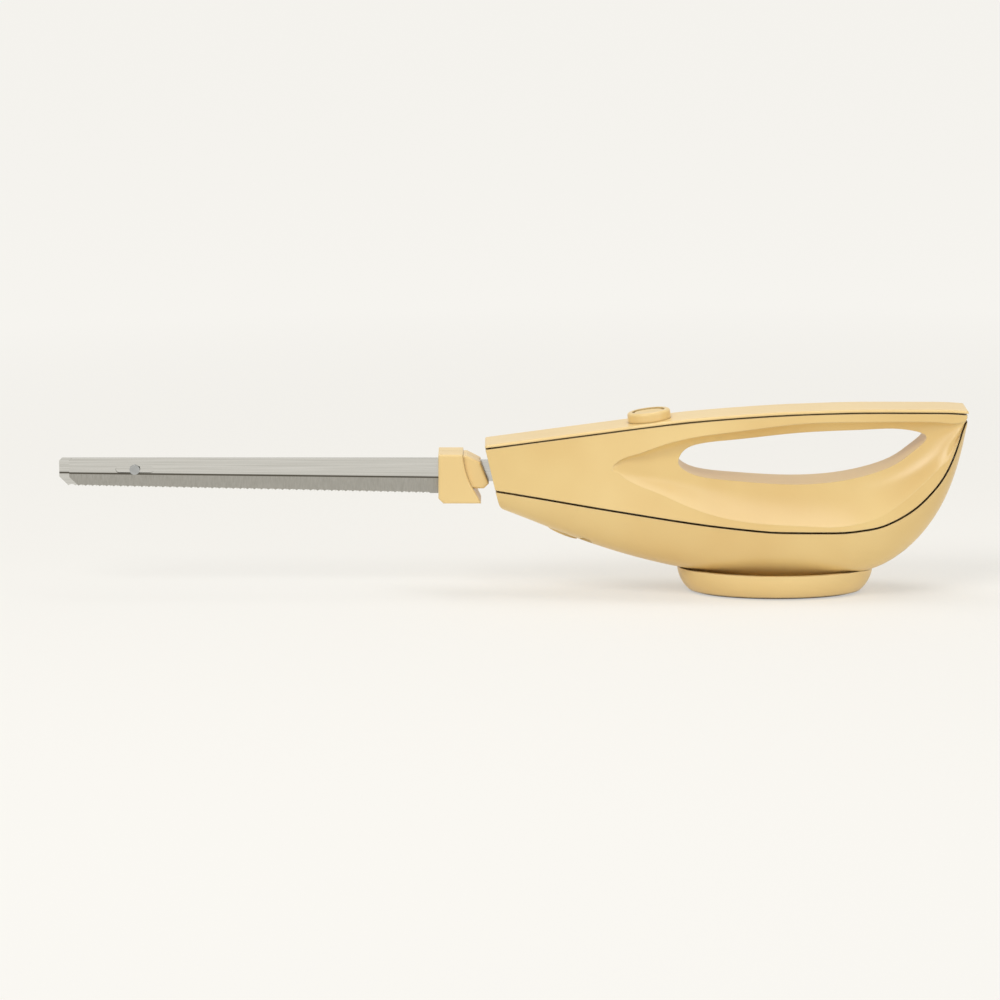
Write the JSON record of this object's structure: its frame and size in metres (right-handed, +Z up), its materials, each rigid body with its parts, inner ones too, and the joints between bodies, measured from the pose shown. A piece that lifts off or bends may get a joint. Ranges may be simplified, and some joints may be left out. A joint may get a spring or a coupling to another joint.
{
  "type": "electric carving knife",
  "caption": "Corded-type carving knife with paired reciprocating serrated blades, finger opening through the handle, thumb switch and oval foot.",
  "frame": {"origin": "middle of the foot pad's underside, on the surface that the knife stands on", "axes": "+X from the blades towards the tail, +Z up, +Y to the knife's right-hand side"},
  "size_m": [0.4637, 0.068, 0.096],
  "materials": {
    "cream_plastic": "moulded, softly glossy",
    "button_plastic": "moulded, softly glossy",
    "pad_rubber": "moulded rubber",
    "blade_steel": "ground and polished stainless steel",
    "spring_steel": "rolled strip and wire",
    "plain_steel": "zinc plated",
    "bronze": "sintered and cut bronze",
    "brass_strip": "stamped brass",
    "cast_alloy": "die cast",
    "laminated_iron": "stacked sheet",
    "copper_wire": "enamelled copper wire",
    "carbon": "pressed graphite",
    "dark_phenolic": "compression moulded",
    "white_nylon": "moulded nylon"
  },
  "bodies": {
    "housing": {"upper_housing": "cream_plastic", "lower_housing": "cream_plastic", "top_cover": "cream_plastic", "foot": "cream_plastic", "foot_pad": "pad_rubber", "foot_screws": "plain_steel", "housing_screws": "plain_steel", "switch_bezel": "cream_plastic", "switch_spring": "spring_steel", "switch_base": "dark_phenolic", "switch_contacts": "brass_strip", "nose_guide": "white_nylon", "release_spring": "spring_steel", "gear_frame": "cast_alloy", "stator": "laminated_iron", "field_coils": "copper_wire", "bearings": "bronze", "rear_bracket": "cast_alloy", "through_bolts": "plain_steel", "brush_holders": "brass_strip", "carbon_brushes": "carbon", "brush_springs": "spring_steel", "inlet_socket": "dark_phenolic", "inlet_pins": "brass_strip"},
    "armature": {"armature_shaft": "plain_steel", "armature_core": "laminated_iron", "armature_windings": "copper_wire", "commutator": "copper_wire", "cooling_fan": "white_nylon", "worm": "plain_steel"},
    "drive_gear": {"worm_gear": "white_nylon", "eccentric_left": "plain_steel", "eccentric_right": "plain_steel", "gear_axle": "plain_steel"},
    "left_driver": {"driver_left": "white_nylon", "latch_clip_left": "spring_steel"},
    "right_driver": {"driver_right": "white_nylon", "latch_clip_right": "spring_steel"},
    "left_blade": {"blade_left": "blade_steel", "guard_left": "cream_plastic"},
    "right_blade": {"blade_right": "blade_steel", "guard_right": "cream_plastic", "blade_rivet": "blade_steel"},
    "thumb_button": {"switch_button": "button_plastic"},
    "release": {"release_button": "button_plastic"}
  },
  "joints": [
    {"name": "armature_spin", "type": "hinge", "parent": "housing", "child": "armature", "pos_m": [0, 0, 0.034], "axis": [1, 0, 0], "range_deg": [-1440, 1440]},
    {"name": "crank_turn", "type": "hinge", "parent": "housing", "child": "drive_gear", "pos_m": [-0.072, 0, 0.054], "axis": [0, 1, 0], "range_deg": [-90.5, 90.5]},
    {"name": "left_stroke", "type": "slide", "parent": "housing", "child": "left_driver", "axis": [1, 0, 0], "range_m": [-0.00402, 0.00402]},
    {"name": "right_stroke", "type": "slide", "parent": "housing", "child": "right_driver", "axis": [1, 0, 0], "range_m": [-0.00402, 0.00402]},
    {"name": "left_withdraw", "type": "slide", "parent": "left_driver", "child": "left_blade", "axis": [-1, 0, 0], "range_m": [0, 0.06], "deforming": ["latch_clip_left"]},
    {"name": "right_withdraw", "type": "slide", "parent": "right_driver", "child": "right_blade", "axis": [-1, 0, 0], "range_m": [0, 0.06], "deforming": ["latch_clip_right"]},
    {"name": "switch_press", "type": "slide", "parent": "housing", "child": "thumb_button", "axis": [0.1261, 0, -0.992], "range_m": [0, 0.0016], "stiffness_N_per_m": 600, "springref_m": -0.001, "deforming": ["switch_spring", "switch_contacts"]},
    {"name": "release_press", "type": "slide", "parent": "housing", "child": "release", "axis": [0, 0, 1], "range_m": [0, 0.0025], "stiffness_N_per_m": 500, "deforming": ["release_spring", "latch_clip_left", "latch_clip_right"]}
  ],
  "couplings": [
    {"joint": "crank_turn", "follows": "armature_spin", "ratio": 0.0625},
    {"joint": "left_stroke", "follows": "armature_spin", "m_per_rad": 0.00015915},
    {"joint": "right_stroke", "follows": "armature_spin", "m_per_rad": -0.00015915},
    {"joint": "right_withdraw", "follows": "left_withdraw", "ratio": 1}
  ]
}
